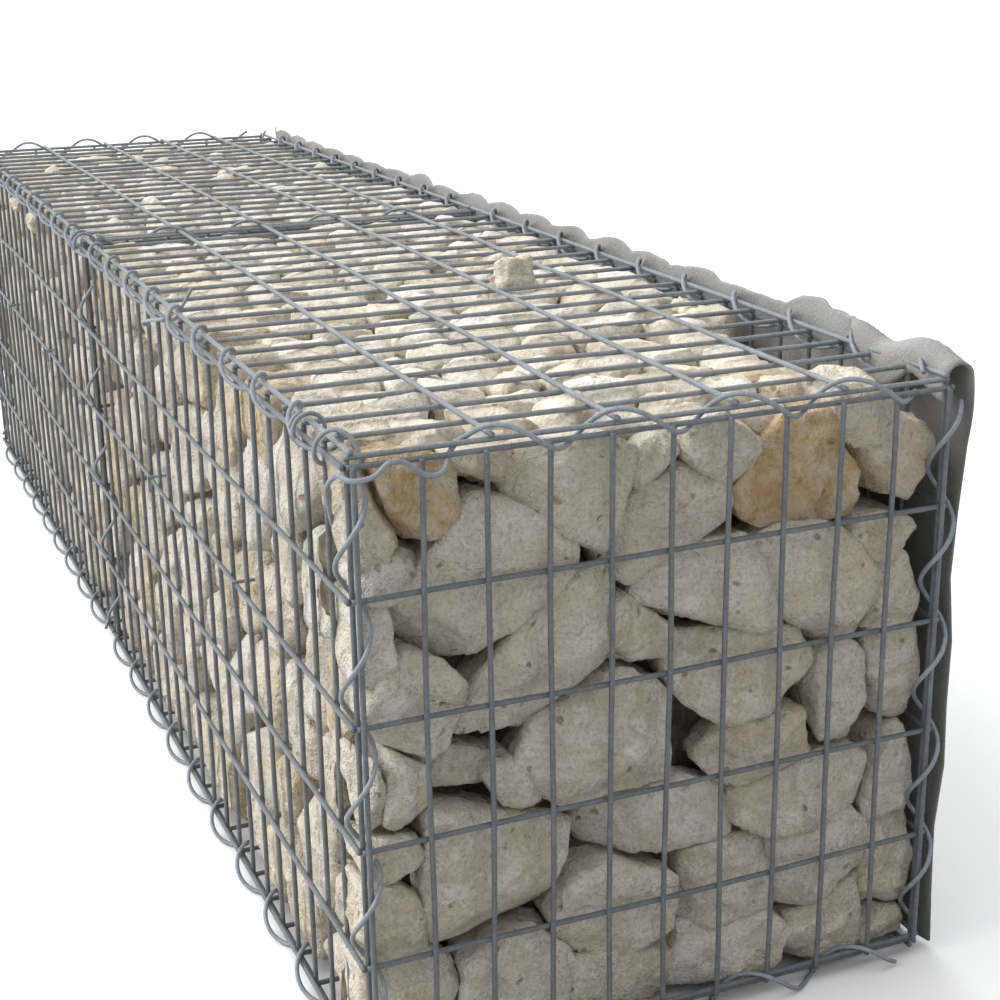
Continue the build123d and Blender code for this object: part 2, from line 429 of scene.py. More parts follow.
def pack_side(
    heap, side, width, height, spacing, depth, ochre_range,
    squash=1.0, sunk=0.008, gap=0.0004, chips=4, lean=0.09, bevel=0.006, ridges=2, hollow=None, proud=0.0
):
    """Packs a face of width by height with stones that share it out between them.

    Squash is a stone's height over its width, and sunk is the most that one lies behind the face.
    Hollow says how far the stones stand back at a place, and proud is the share of peaked ones.
    """
    rng = heap.rng
    columns = max(1, round(width / spacing))
    rows = max(1, round(height / (spacing * squash)))
    seeds, weights = [], []
    for row in range(rows):
        for column in range(columns):
            offset = 0.25 if row % 2 else -0.25
            seeds.append(
                (
                    (column + 0.5 + offset * 0.9 + rng.uniform(-0.28, 0.28)) / columns * width,
                    (row + 0.5 + rng.uniform(-0.28, 0.28)) / rows * height,
                )
            )
            weights.append(rng.uniform(0.0, 0.55) * spacing)
    seeds, weights = np.array(seeds), np.array(weights)
    shrink = np.array([1.0, 1.0 / squash])
    for seed, weight in zip(seeds, weights):
        away = (seeds - seed) * shrink
        spans = np.linalg.norm(away, axis=1)
        edges = []
        for vector, span, other in zip(away, spans, weights):
            if 1e-6 < span < 2.6 * spacing:
                share = (span * span + weight * weight - other * other) / (2 * span)
                normal = vector / span * shrink
                length = np.linalg.norm(normal)
                edges.append((*(normal / length), max(least_share, share / length - gap), False))
        left, low = seed
        rims = ((-1.0, 0.0, left), (1.0, 0.0, width - left), (0.0, -1.0, low), (0.0, 1.0, height - low))
        for across, up, distance in rims:
            edges.append((across, up, max(least_rim, distance), True))
        thick = depth * rng.uniform(0.75, 1.0)
        deep = rng.uniform(0.0, sunk) + (hollow(left, low) if hollow else 0.0)
        peaked = rng.uniform() < proud
        if peaked:
            deep -= rng.uniform(0.005, 0.014)
        shape = (5, 0.55) if peaked else (ridges, 0.0)
        facets = slab_facets(heap, edges, thick, lean, bevel, *shape)
        heap.add(
            (left, low, -deep - thick / 2),
            facets,
            (spacing * 0.5, spacing * 0.5 * squash, thick * 0.5),
            side,
            rng.uniform(*ochre_range) ** 2,
            chips=chips,
            rough=min(1.0, spacing / 0.080),
        )


# Stones of the near end, traced in thirds of a millimetre on the face laid flat.
# Each has its ochre, how far it is sunk, and its corners from the face's upper front corner.
tracing_scale = 3000.0
tracing_corner = (-0.260, 0.550)
near_end_stones = (
    (0.30, 0.004, ((30, 108), (95, 100), (122, 210), (135, 268), (108, 322), (45, 328), (28, 240))),
    (0.95, 0.001, (
        (103, 98), (175, 90), (240, 112), (284, 160), (288, 232),
        (240, 268), (180, 300), (142, 282), (122, 205),
    )),
    (0.60, 0.003, ((258, 118), (320, 106), (386, 112), (384, 182), (328, 202), (292, 180))),
    (0.25, 0.000, (
        (390, 112), (550, 100), (640, 112), (703, 152), (692, 215),
        (655, 300), (622, 370), (565, 345), (398, 215), (384, 165),
    )),
    (0.20, 0.026, ((300, 200), (392, 205), (468, 290), (405, 300), (320, 238))),
    (0.15, 0.004, (
        (702, 185), (735, 148), (795, 122), (828, 150), (822, 215), (800, 262), (758, 275), (718, 240),
    )),
    (0.25, 0.002, (
        (850, 112), (960, 102), (1018, 128), (1036, 172), (1012, 240), (962, 270), (905, 235), (850, 190),
    )),
    (0.50, 0.006, (
        (612, 365), (655, 305), (702, 272), (845, 215), (925, 242),
        (957, 300), (950, 350), (745, 480), (690, 488), (655, 472),
    )),
    (1.00, 0.000, (
        (972, 300), (1062, 180), (1120, 135), (1225, 130), (1298, 290),
        (1312, 362), (1240, 384), (1060, 386), (1000, 350),
    )),
    (0.60, 0.000, ((1234, 98), (1380, 92), (1424, 135), (1420, 172), (1362, 212), (1290, 212), (1252, 185))),
    (0.55, 0.002, (
        (1266, 226), (1425, 176), (1506, 190), (1524, 240),
        (1513, 386), (1420, 388), (1372, 362), (1318, 300),
    )),
    (0.20, 0.003, ((46, 352), (72, 332), (150, 314), (206, 338), (198, 384), (112, 430), (50, 402))),
    (0.15, 0.001, (
        (120, 490), (140, 425), (300, 226), (336, 218), (440, 268), (556, 345), (558, 388),
        (525, 430), (440, 520), (345, 572), (265, 608), (180, 572), (130, 525),
    )),
    (0.25, 0.004, ((30, 420), (98, 430), (110, 482), (116, 580), (80, 616), (30, 602))),
    (0.15, 0.003, (
        (50, 680), (90, 600), (148, 556), (232, 592), (290, 662),
        (296, 700), (250, 780), (190, 815), (112, 782), (60, 732),
    )),
    (0.15, 0.002, (
        (256, 776), (350, 625), (538, 438), (628, 416), (632, 610),
        (620, 655), (432, 792), (365, 838), (300, 822),
    )),
    (0.20, 0.008, (
        (652, 530), (702, 516), (762, 560), (822, 614), (822, 652),
        (782, 702), (702, 692), (640, 645), (648, 575),
    )),
    (0.20, 0.000, (
        (715, 560), (730, 492), (800, 450), (880, 416), (1010, 412), (1052, 472), (1088, 520),
        (1112, 582), (1102, 642), (1030, 652), (942, 638), (862, 612), (780, 592),
    )),
    (0.35, 0.001, (
        (1040, 435), (1100, 402), (1200, 400), (1258, 420), (1300, 462),
        (1370, 545), (1374, 600), (1330, 700), (1250, 722), (1128, 620),
    )),
    (0.40, 0.003, (
        (1268, 402), (1400, 398), (1460, 408), (1478, 442),
        (1445, 500), (1402, 548), (1376, 532), (1312, 462),
    )),
    (0.20, 0.004, (
        (1398, 566), (1450, 510), (1508, 560), (1528, 662),
        (1500, 702), (1400, 706), (1352, 692), (1386, 600),
    )),
    (0.10, 0.000, (
        (382, 848), (450, 790), (560, 712), (640, 690), (702, 700), (770, 740), (832, 822),
        (895, 930), (892, 982), (820, 1006), (600, 1006), (500, 988), (455, 925),
    )),
    (0.15, 0.001, (
        (812, 712), (850, 628), (1110, 656), (1172, 672), (1206, 742),
        (1206, 802), (1130, 862), (1000, 872), (920, 852), (852, 792),
    )),
    (0.20, 0.006, (
        (1222, 740), (1300, 722), (1352, 765), (1362, 900),
        (1322, 990), (1250, 985), (1215, 900), (1212, 800),
    )),
    (0.25, 0.003, (
        (1372, 745), (1400, 715), (1500, 716), (1520, 800), (1510, 962), (1442, 978), (1380, 905),
    )),
    (0.30, 0.002, ((28, 760), (62, 800), (78, 880), (74, 968), (28, 980))),
    (0.10, 0.004, ((112, 796), (186, 832), (192, 880), (172, 980), (130, 992), (88, 962), (94, 860))),
    (0.10, 0.002, ((332, 905), (348, 872), (400, 868), (462, 938), (466, 974), (422, 982), (355, 962))),
    (0.20, 0.024, ((205, 826), (290, 832), (345, 850), (372, 872), (328, 960), (250, 930), (200, 890))),
    (0.15, 0.001, (
        (188, 938), (300, 975), (400, 996), (490, 1014), (560, 1058), (576, 1130),
        (545, 1200), (495, 1290), (380, 1310), (200, 1300), (180, 1200), (182, 1050),
    )),
    (0.15, 0.010, (
        (590, 1075), (640, 1048), (760, 1026), (870, 1020), (962, 1062),
        (1002, 1122), (982, 1195), (810, 1212), (640, 1180), (592, 1130),
    )),
    (0.35, 0.002, ((28, 998), (120, 1004), (160, 1014), (168, 1118), (145, 1128), (90, 1106), (28, 1060))),
    (0.45, 0.003, ((28, 1075), (90, 1122), (148, 1144), (168, 1210), (176, 1300), (120, 1318), (28, 1310))),
    (0.20, 0.004, (
        (912, 880), (1010, 886), (1130, 876), (1200, 900), (1238, 1000),
        (1180, 1050), (1020, 1056), (960, 1040), (905, 985),
    )),
    (0.25, 0.002, (
        (1020, 1080), (1260, 1012), (1320, 1008), (1370, 1060),
        (1350, 1180), (1240, 1230), (1090, 1210), (1010, 1150),
    )),
    (0.20, 0.004, (
        (1385, 990), (1440, 992), (1513, 980), (1528, 1100),
        (1508, 1230), (1400, 1240), (1376, 1170), (1388, 1070),
    )),
    (0.15, 0.002, (
        (560, 1225), (640, 1198), (800, 1230), (850, 1300),
        (820, 1400), (700, 1440), (560, 1420), (505, 1330),
    )),
    (0.20, 0.005, (
        (870, 1230), (990, 1212), (1080, 1225), (1130, 1320),
        (1090, 1420), (960, 1440), (850, 1400), (865, 1310),
    )),
    (0.15, 0.001, ((1110, 1235), (1350, 1205), (1385, 1260), (1370, 1380), (1250, 1450), (1120, 1430))),
    (0.25, 0.003, ((1400, 1258), (1518, 1248), (1528, 1400), (1508, 1510), (1402, 1500), (1386, 1400))),
    (0.30, 0.004, ((28, 1330), (180, 1325), (260, 1380), (250, 1500), (190, 1590), (28, 1600))),
    (0.15, 0.001, (
        (275, 1370), (380, 1330), (490, 1340), (545, 1430),
        (520, 1560), (400, 1600), (270, 1590), (262, 1500),
    )),
    (0.20, 0.005, ((560, 1440), (810, 1425), (840, 1500), (800, 1600), (560, 1600), (540, 1560))),
    (0.15, 0.002, ((860, 1430), (1090, 1440), (1160, 1500), (1120, 1600), (830, 1600))),
    (0.25, 0.003, ((1180, 1480), (1370, 1405), (1388, 1510), (1380, 1600), (1150, 1600))),
    (0.20, 0.006, ((1400, 1520), (1508, 1528), (1524, 1560), (1524, 1600), (1400, 1600))),
)
end_depth = 0.085
end_growth, end_swell = 1.085, 0.0034    # how much wider than traced they are cut, so that they touch
end_rim = 0.232    # past this, an upright side of a stone lies flat in the wall's own side


def pack_end(heap, side):
    """Packs an end of the wall with the traced stones."""
    for ochre, sunk, corners in near_end_stones:
        left, top = tracing_corner
        flat = [(left + px / tracing_scale, top - py / tracing_scale) for px, py in corners]
        middle, edges = polygon_edges(flat)
        swollen = []
        for across, up, distance in edges:
            tight = abs(across) > 0.9 and abs(middle[0] + across * distance) > end_rim
            swollen.append((across, up, distance * end_growth + end_swell, tight))
        thick = end_depth * heap.rng.uniform(0.85, 1.0) - sunk
        facets = slab_facets(heap, swollen, thick, lean=0.05, bevel=0.0048)
        reach = np.array([distance for _, _, distance, _ in swollen])
        heap.add(
            (middle[0], middle[1], -sunk - thick / 2),
            facets,
            (reach.mean(), reach.mean(), thick / 2),
            side,
            ochre,
            chips=3,
            rough=0.85,
            sharp=(34.0, 55.0),
        )


near_low, near_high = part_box("stone_fill_near")
far_low, far_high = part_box("stone_fill_far")
stone = limestone("limestone", 1.0)
lid_stone = limestone("lid_limestone", 0.65)
inner_stone = inner_limestone()

near_end = StoneHeap("end_stones_near", 11, 19)
pack_end(near_end, side_axes(y_way, z_way, x_way, (near_high.x, 0, 0)))
near_end.finish(stone, ["stone_fill_near"])

far_end = StoneHeap("end_stones_far", 12, 10)
pack_end(far_end, side_axes(-y_way, z_way, -x_way, (far_low.x, 0, 0)))
far_end.finish(stone, ["stone_fill_far"])

# The long sides stop short of the stones of the ends, and the lids run on over them
end_inset = 0.7 * end_depth
lid_overrun = 0.35 * end_depth
run = near_high.x - near_low.x - end_inset
rise = near_high.z - near_low.z
front_spacing, lid_spacing, base_spacing = 0.098, 0.058, 0.095
front_depth, lid_depth, base_depth = 0.080, 0.050, 0.070
lid_width = near_high.y - near_low.y - front_depth
lid_lap = 0.4 * front_depth    # how far the lid's stones lie over those of the front
hem = 0.004                    # how far the front's stones go on below the fill's underside
lid_rise = 0.005               # how far the lid's stones may stand above its top

# The second layer of stones: its spacing, its depth, how far behind a face it lies, and how much
# narrower than its face it is
core_spacing, core_stone = 0.080, 0.060
core_depth, lid_core_depth = 0.045, 0.024
end_core_margin, lid_core_margin = 0.020, 0.050

# The block in the middle: how far inside the fill each of its sides lies
heart_at_joint, heart_at_end = 0.002, 0.052
heart_front, heart_back, heart_below, heart_above = 0.050, 0.030, 0.010, 0.052


def corner_hollow(along, across):
    """The fill stands back from the felt near the near end, so the felt shows inside the mesh."""
    return 0.030 if along > 0.74 and across > lid_width - 0.040 else 0.0


# Each basket: its seed, where the stones of its front and lid start, how finely they are cut, how far
# those of the lid stand back, and how many of them are peaked
for bay, seed, start, lid_start, front_cuts, lid_cuts, hollow, peaked_share in (
    ("near", 21, near_low.x, near_low.x, 15, 9, corner_hollow, 0.0),
    ("far", 31, far_low.x + end_inset, far_low.x + end_inset - lid_overrun, 10, 7, None, 0.20),
):
    node = [f"stone_fill_{bay}"]
    front = StoneHeap(f"front_stones_{bay}", seed, front_cuts)
    front_side = side_axes(x_way, z_way, -y_way, (start, near_low.y, near_low.z - hem))
    pack_side(front, front_side, run, rise + hem, front_spacing, front_depth, (0.1, 0.9), squash=0.92)
    front.finish(stone, node)

    lid = StoneHeap(f"lid_stones_{bay}", seed + 1, lid_cuts)
    lid_origin = (lid_start, near_low.y + front_depth - lid_lap, near_high.z + lid_rise)
    pack_side(
        lid, side_axes(x_way, y_way, z_way, lid_origin),
        run + lid_overrun, lid_width + lid_lap, lid_spacing, lid_depth, (0.1, 0.8),
        sunk=0.009, gap=-0.0012, chips=8, lean=0.16, bevel=0.008, ridges=3, hollow=hollow, proud=peaked_share
    )
    lid.finish(lid_stone, node)

    base = StoneHeap(f"base_stones_{bay}", seed + 3, 6)
    base_side = side_axes(x_way, -y_way, -z_way, (start, near_high.y, near_low.z))
    pack_side(base, base_side, run, lid_width, base_spacing, base_depth, (0.1, 0.7))
    base.finish(stone, node)

    # A second layer behind the front, the end and the lid, and a block that closes the middle
    core = StoneHeap(f"inner_stones_{bay}", seed + 2, 4)
    if bay == "near":
        end_core = side_axes(y_way, z_way, x_way, (near_high.x - core_depth, near_low.y, near_low.z))
        heart_low = near_low + Vector((heart_at_joint, heart_front, heart_below))
        heart_high = near_high - Vector((heart_at_end, heart_back, heart_above))
    else:
        end_core = side_axes(y_way, z_way, -x_way, (far_low.x + core_depth, near_low.y, near_low.z))
        heart_low = far_low + Vector((heart_at_end, heart_front, heart_below))
        heart_high = far_high - Vector((heart_at_joint, heart_back, heart_above))
    front_core = side_axes(x_way, z_way, -y_way, (start, near_low.y + core_depth, near_low.z))
    lid_core = side_axes(x_way, y_way, z_way, (start, near_low.y + front_depth, near_high.z - lid_core_depth))
    for side, core_width, core_height in (
        (front_core, run, rise),
        (end_core, near_high.y - near_low.y - end_core_margin, rise),
        (lid_core, run, lid_width - lid_core_margin),
    ):
        pack_side(core, side, core_width, core_height, core_spacing, core_stone, (0.1, 0.7))
    half = (heart_high - heart_low) / 2
    middle = (heart_low + heart_high) / 2
    core.add(middle, block_facets(half), half, (np.eye(3), np.zeros(3)), 0.2, chips=0, sharp=(120.0, 140.0))
    core.finish(inner_stone, node)

# Loose stones that stand out of the packing: place, half sizes and turn
loose_stones = (
    ((0.481, 0.100, 0.5285), (0.0215, 0.0225, 0.0278), 0.0),
    ((-0.531, -0.2492, 0.502), (0.020, 0.0190, 0.0145), 0.05),
    ((-0.381, -0.2492, 0.493), (0.0215, 0.0192, 0.0195), 0.0),
    ((0.948, 0.178, 0.501), (0.048, 0.040, 0.030), 0.1),
)
loose = StoneHeap("loose_stones", 51, 12)
for centre, halves, angle in loose_stones:
    aslant = np.array(Matrix.Rotation(angle, 3, "Z"))
    loose.add(
        np.array(centre) @ aslant,
        block_facets(halves),
        halves,
        (aslant, np.zeros(3)),
        0.35,
        chips=14,
        rough=1.2,
        sharp=(9.0, 13.0),
    )
loose.finish(stone, ["stone_fill_near"])


# Wires


class WireBundle:
    """Round wires that share one mesh."""

    def __init__(self, name, diameter):
        self.name, self.radius = name, diameter / 2
        self.points, self.faces, self.count = [], [], 0

    def add(self, path):
        """Draws a round wire along a path, with flat cut ends."""
        path = np.asarray(path, dtype=float)
        runs = np.diff(path, axis=0)
        runs /= np.linalg.norm(runs, axis=1)[:, None]
        ways = np.vstack([runs[:1], runs[:-1] + runs[1:], runs[-1:]])
        ways /= np.linalg.norm(ways, axis=1)[:, None]
        across = np.cross(ways[0], x_way if abs(ways[0][0]) < 0.8 else y_way)
        rings = []
        turns = np.arange(wire_sides) * math.tau / wire_sides
        for point, way in zip(path, ways):
            across = across - way * (across @ way)
            across /= np.linalg.norm(across)
            other = np.cross(way, across)
            spokes = np.outer(np.cos(turns), across) + np.outer(np.sin(turns), other)
            rings.append(point + self.radius * spokes)
        first = self.count
        for ring in range(len(path) - 1):
            base = first + ring * wire_sides
            ahead = base + wire_sides
            for side in range(wire_sides):
                beside = (side + 1) % wire_sides
                self.faces.append((base + side, base + beside, ahead + beside, ahead + side))
        last = first + (len(path) - 1) * wire_sides
        self.faces.append(tuple(range(first + wire_sides - 1, first - 1, -1)))
        self.faces.append(tuple(range(last, last + wire_sides)))
        self.points.append(np.concatenate(rings))
        self.count += len(path) * wire_sides

    def finish(self, material, slot, nodes):
        """Joins the wires into one piece."""
        add_piece(self.name, np.concatenate(self.points), self.faces, material, nodes)


# Painted light and shade: one zinc in two copies, darker on the panels' wires for the shade on them and
# lighter on the lids' wires for the light from above.
shaded_mesh_finish = galvanised("painted_shade_mesh_zinc", rgb(0.134, 0.148, 0.164), rgb(0.260, 0.285, 0.310), 0.69)
lit_lid_finish = galvanised("painted_light_lid_zinc", rgb(0.205, 0.225, 0.245), rgb(0.380, 0.410, 0.435), 0.69)
binder_finish = galvanised("binder_zinc", rgb(0.23, 0.255, 0.29), rgb(0.40, 0.43, 0.47), 0.70)

# Each panel: the axis that its close-set wires run along, the axis that they are spaced
# along, the axis through the panel, and which way along it the close-set wires lie.
panels = [("end_panel_near", 2, 1, 0, 1), ("end_panel_far", 2, 1, 0, -1), ("partition_panel", 2, 1, 0, 1)]
for bay in ("near", "far"):
    panels += [
        (f"front_panel_{bay}", 2, 0, 1, 1),
        (f"back_panel_{bay}", 2, 0, 1, -1),
        (f"lid_panel_{bay}", 1, 0, 2, -1),
        (f"base_panel_{bay}", 1, 0, 2, 1),
    ]


# How far the wires are bent at most, and how far the lid's lengthways ones drift back: in full
# from some way behind the near end, and by the least share of it there
wire_bend = 0.0022
lid_drift = (0.0, 0.014, 0.018, 0.018, 0.012, 0.0)
lid_drift_run, lid_drift_least = 0.70, 0.38

# How much lower the near end's upright wires stop, under the binder
under_binder = 0.0030


def bulge(node, up, across, low, high, point):
    """How far a panel is pushed out of its plane by the stones: nothing at its laced edges."""
    u = (point[up] - low[up]) / (high[up] - low[up])
    v = (point[across] - low[across]) / (high[across] - low[across])
    edge = max(0.0, math.sin(math.pi * u) * math.sin(math.pi * v)) ** 0.5
    seed = Vector((len(node) * 3.7, ord(node[0]) * 0.31, 0.0))
    return edge * wire_bend * noise.noise(seed + Vector(point) * 7.0)


def sway(node, wire, point, last):
    """How far a wire is bent along its panel."""
    if wire in (0, last):
        return 0.0
    bend = wire_bend * noise.noise(Vector((wire * 7.31, len(node) * 1.7, sum(point) * 5.0)))
    if node.startswith("lid_panel") and last == len(lid_drift) - 1:
        back = max(0.0, (near_high.x - point[0]) / lid_drift_run)
        bend += lid_drift[wire] * min(1.0, lid_drift_least + (1.0 - lid_drift_least) * back)
    return bend


for node, up, across, through, close_side in panels:
    low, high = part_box(node)
    middle = (low[through] + high[through]) / 2
    layer = (high[through] - low[through]) / 4
    bundle = WireBundle(f"wires_{node}", mesh_wire)
    for run_axis, step_axis, step, offset in (
        (up, across, mesh_fine, close_side * layer),
        (across, up, mesh_coarse, -close_side * layer),
    ):
        first = low[step_axis] + cut_stub
        count = round((high[step_axis] - cut_stub - first) / step) + 1
        stops = round((high[run_axis] - low[run_axis] - 2 * cut_stub) / mesh_fine) + 1
        along = [low[run_axis]]
        along += [low[run_axis] + cut_stub + i * mesh_fine for i in range(stops)]
        along += [high[run_axis] - (under_binder if node == "end_panel_near" and run_axis == 2 else 0.0)]
        for i in range(count):
            path = []
            for place in along:
                point = [0.0, 0.0, 0.0]
                point[step_axis] = first + i * step
                point[run_axis] = place
                point[through] = middle + offset
                point[through] += bulge(node, up, across, low, high, point)
                point[step_axis] += sway(node, i, point, count - 1)
                path.append(point)
            bundle.add(path)
    bundle.finish(lit_lid_finish if node.startswith("lid_panel") else shaded_mesh_finish, "mesh_wire", [node])

# Binders: a right-handed helix round each laced edge, and its copies turned about the wall's centre
wall_centre = np.array((0.0, -0.0014, 0.2692485))
binder_radius = 0.0116
binder_points = 20    # drawn for each turn

# Each binder: its node, the axis that it runs along, the way of its crests, where its first crest
# comes, where its copies' first crests come, and the copies
binders = (
    ("spiral_top_front_near", 0, 2, 0.84, 0.84, ("top_back_far", "bottom_back_near", "bottom_front_far")),
    ("spiral_top_front_far", 0, 2, 0.37, 0.37, ("top_back_near", "bottom_back_far", "bottom_front_near")),
    ("spiral_top_end_near", 1, 2, 0.12, 0.12, ("top_end_far", "bottom_end_near", "bottom_end_far")),
    (
        "spiral_corner_front_near", 2, 1, 0.81, 0.56,
        ("corner_back_far", "corner_back_near", "corner_front_far"),
    ),
    ("spiral_joint_top", 1, 2, 0.08, 0.08, ("", "joint_bottom", "")),
    ("spiral_joint_front", 2, 1, 0.74, 0.74, ("", "joint_back", "")),
)
laced_length = {0: 1.0, 1: 0.5, 2: 0.5}    # of an edge along each axis


def wind_path(node, along, crest_axis, crest):
    """Points of a binder: crests point up its crest axis, one for each coarse cell."""
    low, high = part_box(node)
    middle = np.array((low + high) / 2)
    z, x = np.eye(3)[along], np.eye(3)[crest_axis]
    y = np.cross(z, x)
    first_crest = -laced_length[along] / 2 + crest * mesh_coarse
    half = (high[along] - low[along]) / 2
    count = math.ceil(2 * half / mesh_coarse * binder_points)
    path = []
    for i in range(count + 1):
        t = -half + 2 * half * i / count
        angle = math.tau * (t - first_crest) / mesh_coarse
        path.append(middle + z * t + binder_radius * (x * math.cos(angle) + y * math.sin(angle)))
    return np.array(path)


def smooth_way(points, steps):
    """A smooth path through points, with this many steps between each two."""
    points = np.asarray([tuple(point) for point in points])
    ends = np.vstack([2 * points[0] - points[1], points, 2 * points[-1] - points[-2]])
    path = []
    for i in range(len(points) - 1):
        before, start, stop, after = ends[i : i + 4]
        for step in range(steps):
            t = step / steps
            path.append(
                0.5
                * (
                    2 * start
                    + (stop - before) * t
                    + (2 * before - 5 * start + 4 * stop - after) * t**2
                    + (3 * start - before - 3 * stop + after) * t**3
                )
            )
    return np.array([*path, points[-1]])


# The near end's upper binder starts behind the front mesh, is bent round the corner, and joins its
# helix where that is this far back
corner_hook_joins = -0.1630
corner_hook_points = (
    (0.9570, -0.2488, 0.4530),
    (0.9655, -0.2540, 0.4690),
    (0.9828, -0.2610, 0.4875),
    (0.9969, -0.2655, 0.5035),
    (1.0120, -0.2625, 0.5152),
    (1.0235, -0.2560, 0.5134),
    (1.0242, -0.2400, 0.5148),
    (1.0242, -0.2290, 0.5230),
    (1.0242, -0.2180, 0.5225),
    (1.0242, -0.2060, 0.5135),
    (1.0235, -0.1955, 0.5095),
    (1.0200, -0.1860, 0.5118),
    (1.0090, -0.1790, 0.5180),
    (1.0035, -0.1700, 0.5262),
)
corner_hook = smooth_way(corner_hook_points, 6)

# Half turns about the upright axis, the lengthways one and the crossways one
half_turns = (np.diag((-1.0, -1.0, 1.0)), np.diag((1.0, -1.0, -1.0)), np.diag((-1.0, 1.0, -1.0)))
for node, along, crest_axis, crest, copy_crest, copies in binders:
    path = wind_path(node, along, crest_axis, crest)
    coil = WireBundle(f"coil_{node}", binder_wire)
    if node == "spiral_top_end_near":
        coil.add(smooth_way([*corner_hook, *path[path[:, 1] > corner_hook_joins]], 1))
    else:
        coil.add(path)
    coil.finish(binder_finish, "spiral_wire", [node])
    path = wind_path(node, along, crest_axis, copy_crest)
    for turn, copy in zip(half_turns, copies):
        if copy:
            coil = WireBundle(f"coil_spiral_{copy}", binder_wire)
            coil.add((path - wall_centre) @ turn.T + wall_centre)
            coil.finish(binder_finish, "spiral_wire", [f"spiral_{copy}"])

# Spare turns wound round the front's upper edge: where each starts, how far it runs along the edge,
# its first angle, the angle that it turns through, its reach out and up, and how high its axis lies
spare_turns = (
    (-0.018, 0.010, 0.4, 8.6, 0.0128, 0.0128, 0.5232),
    (0.002, 0.010, 1.2, 8.6, 0.0128, 0.0128, 0.5232),
    (0.911, 0.010, 0.2, 8.6, 0.0128, 0.0128, 0.5232),
    (0.958, 0.046, 2.9, -5.2, 0.0120, 0.0160, 0.5240),
)
spare_axis = -0.2534
spare_steps = 30
spare = WireBundle("spare_turns", spare_wire)
for start, length, first_angle, sweep, reach_out, reach_up, axis_height in spare_turns:
    path = []
    for i in range(spare_steps + 1):
        share = i / spare_steps
        angle = first_angle + sweep * share
        out, up = reach_out * math.sin(angle), reach_up * math.cos(angle)
        path.append((start + length * share, spare_axis - out, axis_height + up))
    spare.add(path)

# Ends of tie wire that stick out by the front's upper edge
tie_ends = (
    (
        (0.4790, -0.2620, 0.5235),
        (0.4300, -0.2640, 0.5130),
        (0.3850, -0.2645, 0.5030),
        (0.3766, -0.2620, 0.4985),
        (0.3790, -0.2560, 0.4960),
    ),
    ((0.4610, -0.2420, 0.5290), (0.4588, -0.2381, 0.5330), (0.4570, -0.2290, 0.5470)),
)
for tie_end in tie_ends:
    spare.add(smooth_way(tie_end, 4))
spare.finish(binder_finish, "spiral_wire", [])

# The ties that go through the packing are shown as they were packed
for bay in ("near", "far"):
    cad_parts[f"cross_ties_{bay}"].data.materials.clear()
    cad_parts[f"cross_ties_{bay}"].data.materials.append(binder_finish)


# Felt

felt_low, felt_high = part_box("felt_sheet")
felt_columns = 300
lower_rows, upper_rows = 8, 24
felt_rows = lower_rows + upper_rows
upper_share = 0.16                      # of its height, which the binder and the fold shape
felt_thickness = 0.0025
felt_stand = 0.0016                     # from its box's front to its middle
felt_crest = 0.013                      # where a turn of the binder draws it down
fold_start, fold_run = 0.840, 0.070     # where it starts to fold in over the lid, and how soon
fold_turn = math.radians(185.0)         # how far it is turned over there
last_hump_at, last_hump_run = 0.795, 0.052     # the high hump just before the fold


def felt_point(s, t):
    """A point of the felt: s runs along the wall, t from its hem to its upper edge.

    Its upper edge is drawn down at every turn of the binder and rises a little between them.
    Near the near end it is folded in over the lid, and its free ends are wavy.
    """
    x = felt_low.x + s * (felt_high.x - felt_low.x)
    cell = ((x - felt_crest) / mesh_coarse) % 1.0
    number = math.floor((x - felt_crest) / mesh_coarse)
    swing = 0.30 + 1.5 * abs(noise.noise(Vector((number * 3.13, 5.3, 0.0))))
    skew = 1.15 + 0.9 * abs(noise.noise(Vector((number * 1.77, 1.9, 0.0))))
    hump = swing * math.sin(math.pi * cell**skew) ** 0.7
    ruffle = noise.noise(Vector((x * 75.0, 3.0, 0.0))) * 0.5 + noise.noise(Vector((x * 23.0, 7.0, 0.0)))
    fold = min(1.0, max(0.0, (x - fold_start) / fold_run))
    last_hump = max(0.0, 1.0 - abs(x - last_hump_at) / last_hump_run) ** 0.6
    height = felt_high.z - felt_low.z
    lower = min(t / (1.0 - upper_share), 1.0) * (1.0 - upper_share) * height
    upper = max(0.0, (t - 1.0 + upper_share) / upper_share)

    folds = 0.0055 * noise.noise(Vector((x * 11.0, t * 5.0, 1.0)))
    folds += 0.0018 * noise.noise(Vector((x * 40.0, t * 9.0, 4.0)))
    free = max(0.0, (abs(s - 0.5) - 0.46) / 0.04) ** 1.5
    folds += free * (0.0040 + 0.0075 * noise.noise(Vector((t * 7.5, 2.0, s * 3.0))))
    y = felt_low.y + felt_stand + max(-0.0012, folds)
    x += free * 0.011 * noise.noise(Vector((t * 6.0, 9.0, s * 5.0)))
    z = felt_low.z + lower
    length = upper_share * height - 0.0215 + 0.009 * hump + 0.0025 * ruffle
    length += (1.0 - fold) * 0.013 * last_hump
    length += fold**1.5 * (0.050 + 0.010 * noise.noise(Vector((x * 28.0, 1.0, 6.0))))
    for step in range(round(upper * upper_rows)):
        run_up = (step + 0.5) / upper_rows * length
        over = upper_share * height - 0.024 + fold * 0.006 * math.sin((x - fold_start) * 62.0)
        bend = min(1.0, max(0.0, (run_up - over) / 0.034))
        angle = min(1.0, 3.0 * fold) * bend * fold_turn - (1.0 - fold) * bend * 0.5
        y -= math.sin(angle) * length / upper_rows
        z += math.cos(angle) * length / upper_rows
    return (x, y, z)


